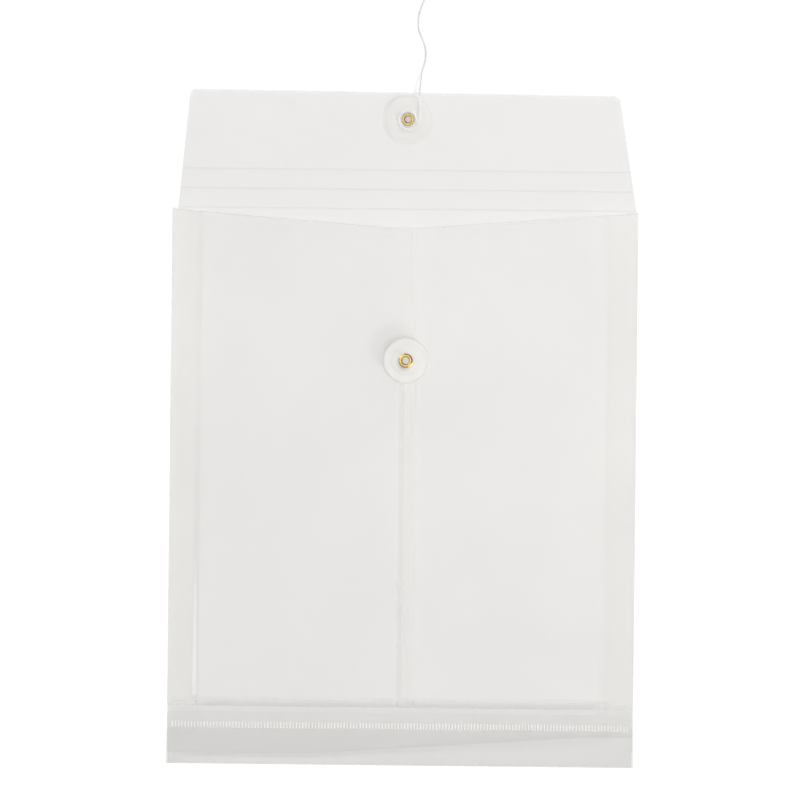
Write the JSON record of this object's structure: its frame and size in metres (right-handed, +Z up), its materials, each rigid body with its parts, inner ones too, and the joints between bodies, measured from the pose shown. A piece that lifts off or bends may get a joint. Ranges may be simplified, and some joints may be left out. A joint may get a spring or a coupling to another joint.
{
  "type": "string tie envelope",
  "caption": "Clear film string tie envelope: a gusseted pocket that opens and flattens, a flap that folds over its mouth, and eyeleted discs for a tie string.",
  "frame": {"origin": "middle of the open envelope's floor plan, on the table that it lies on", "axes": "+X across the envelope to the right, +Y from the bottom fold to the flap, +Z up out of the closure side"},
  "size_m": [0.2478, 0.428, 0.0117],
  "materials": {
    "film": "clear polypropylene film, faintly frosted",
    "disc": "moulded translucent plastic",
    "eyelet": "polished",
    "string": "twisted white string",
    "tie": "white film band"
  },
  "bodies": {
    "front": {"front_panel": "film"},
    "bottom": {"bottom_tail": "film", "bottom_flap": "film"},
    "back": {"back_left_half": "film", "back_right_half": "film", "body_eyelet": "eyelet"},
    "left_front_leaf": {"left_gusset_front_leaf": "film"},
    "right_front_leaf": {"right_gusset_front_leaf": "film"},
    "left_back_leaf": {"left_gusset_back_leaf": "film"},
    "right_back_leaf": {"right_gusset_back_leaf": "film"},
    "lower_strip": {"throat_strip_lower": "film"},
    "upper_strip": {"throat_strip_upper": "film"},
    "flap": {"flap_panel": "film", "flap_eyelet": "eyelet", "string_loop": "string", "string_run": "string", "string_coil": "string", "string_coil_tie": "tie"},
    "flap_disc": {"flap_disc": "disc"},
    "body_disc": {"body_disc": "disc"}
  },
  "joints": [
    {"name": "bottom_fold", "type": "hinge", "parent": "front", "child": "bottom", "pos_m": [0, -0.17817, 0.0003], "axis": [1, 0, 0], "range_deg": [-9, 76]},
    {"name": "bottom_crease", "type": "hinge", "parent": "bottom", "child": "back", "pos_m": [0, -0.1465, 0.00764], "axis": [1, 0, 0], "range_deg": [-76, 9]},
    {"name": "left_front_fold", "type": "hinge", "parent": "front", "child": "left_front_leaf", "pos_m": [-0.123, 0, 0.0003], "axis": [0, -1, 0], "range_deg": [-9, 76]},
    {"name": "right_front_fold", "type": "hinge", "parent": "front", "child": "right_front_leaf", "pos_m": [0.123, 0, 0.0003], "axis": [0, 1, 0], "range_deg": [-9, 76]},
    {"name": "left_back_fold", "type": "hinge", "parent": "back", "child": "left_back_leaf", "pos_m": [-0.123, 0, 0.00764], "axis": [0, 1, 0], "range_deg": [-9, 76]},
    {"name": "right_back_fold", "type": "hinge", "parent": "back", "child": "right_back_leaf", "pos_m": [0.123, 0, 0.00764], "axis": [0, -1, 0], "range_deg": [-9, 76]},
    {"name": "throat_fold", "type": "hinge", "parent": "front", "child": "lower_strip", "pos_m": [0, 0.11663, 0.0003], "axis": [1, 0, 0], "range_deg": [0, 60]},
    {"name": "middle_fold", "type": "hinge", "parent": "lower_strip", "child": "upper_strip", "pos_m": [0, 0.1269, 0.00111], "axis": [1, 0, 0], "range_deg": [0, 60]},
    {"name": "upper_fold", "type": "hinge", "parent": "upper_strip", "child": "flap", "pos_m": [0, 0.13717, 0.00192], "axis": [1, 0, 0], "range_deg": [0, 60]},
    {"name": "flap_disc_spin", "type": "hinge", "parent": "flap", "child": "flap_disc", "pos_m": [0.001, 0.16411, 0.00374], "axis": [0, 0.0785, -0.9969], "continuous": true},
    {"name": "body_disc_spin", "type": "hinge", "parent": "back", "child": "body_disc", "pos_m": [0.001, 0.03633, 0.00824], "axis": [0, 0, 1], "continuous": true}
  ],
  "couplings": [
    {"joint": "bottom_crease", "follows": "bottom_fold", "ratio": -1},
    {"joint": "left_front_fold", "follows": "bottom_fold", "ratio": 1},
    {"joint": "right_front_fold", "follows": "bottom_fold", "ratio": 1},
    {"joint": "left_back_fold", "follows": "bottom_fold", "ratio": 1},
    {"joint": "right_back_fold", "follows": "bottom_fold", "ratio": 1},
    {"joint": "throat_fold", "follows": "upper_fold", "ratio": 1},
    {"joint": "middle_fold", "follows": "upper_fold", "ratio": 1}
  ]
}
